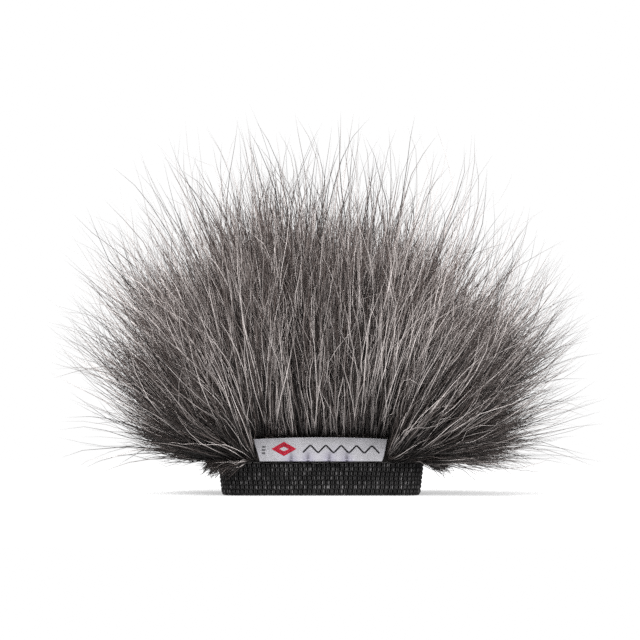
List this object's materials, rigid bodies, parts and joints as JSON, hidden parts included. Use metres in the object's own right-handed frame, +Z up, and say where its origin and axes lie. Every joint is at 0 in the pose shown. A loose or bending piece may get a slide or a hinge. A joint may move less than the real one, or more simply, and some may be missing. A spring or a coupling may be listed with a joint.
{
  "type": "furry windscreen",
  "caption": "Long-pile fur windscreen sock for a handheld audio recorder, with a knitted elastic cuff round the open mouth and a small woven label above it.",
  "frame": {"origin": "centre of the mouth, on the bottom plane of the elastic cuff", "axes": "+Z up, from the mouth into the closed end; +X across the width, to the right seen from the label side; -Y is the label side (front)"},
  "size_m": [0.196, 0.104, 0.14],
  "materials": {
    "fur_pile": "long soft synthetic pile, dark roots and pale grey-brown tips",
    "fur_pile_gusset": "long soft synthetic pile, dark roots and pale grey-brown tips",
    "ground_fabric": "matt black-brown knit",
    "sewing_thread": "matt polyester thread",
    "grey_thread": "matt grey polyester thread",
    "knitted_elastic": "black knitted elastic, six rows of small loops",
    "label_satin": "pale lavender-grey woven satin",
    "label_thread": "white polyester thread"
  },
  "bodies": {
    "sock": {"front_panel_fur_pile": "fur_pile", "back_panel_fur_pile": "fur_pile", "gusset_fur_pile": "fur_pile_gusset", "front_panel_ground_fabric": "ground_fabric", "back_panel_ground_fabric": "ground_fabric", "gusset_ground_fabric": "ground_fabric", "front_gusset_seam_thread": "sewing_thread", "back_gusset_seam_thread": "sewing_thread", "cuff_elastic_front_run": "knitted_elastic", "cuff_seam_thread": "grey_thread"},
    "cuff_rear": {"cuff_elastic_rear_run": "knitted_elastic", "cuff_join_tack_thread": "grey_thread"},
    "label": {"woven_label": "label_satin", "label_stitch_thread": "label_thread"}
  },
  "joints": [
    {"name": "cuff_stretch", "type": "slide", "parent": "sock", "child": "cuff_rear", "axis": [0, 1, 0], "range_m": [0, 0.012], "stiffness_N_per_m": 150},
    {"name": "label_fold", "type": "hinge", "parent": "sock", "child": "label", "pos_m": [0, -0.022, 0.0135], "axis": [1, 0, 0], "range_deg": [0, 150], "stiffness_Nm_per_rad": 0.002}
  ]
}
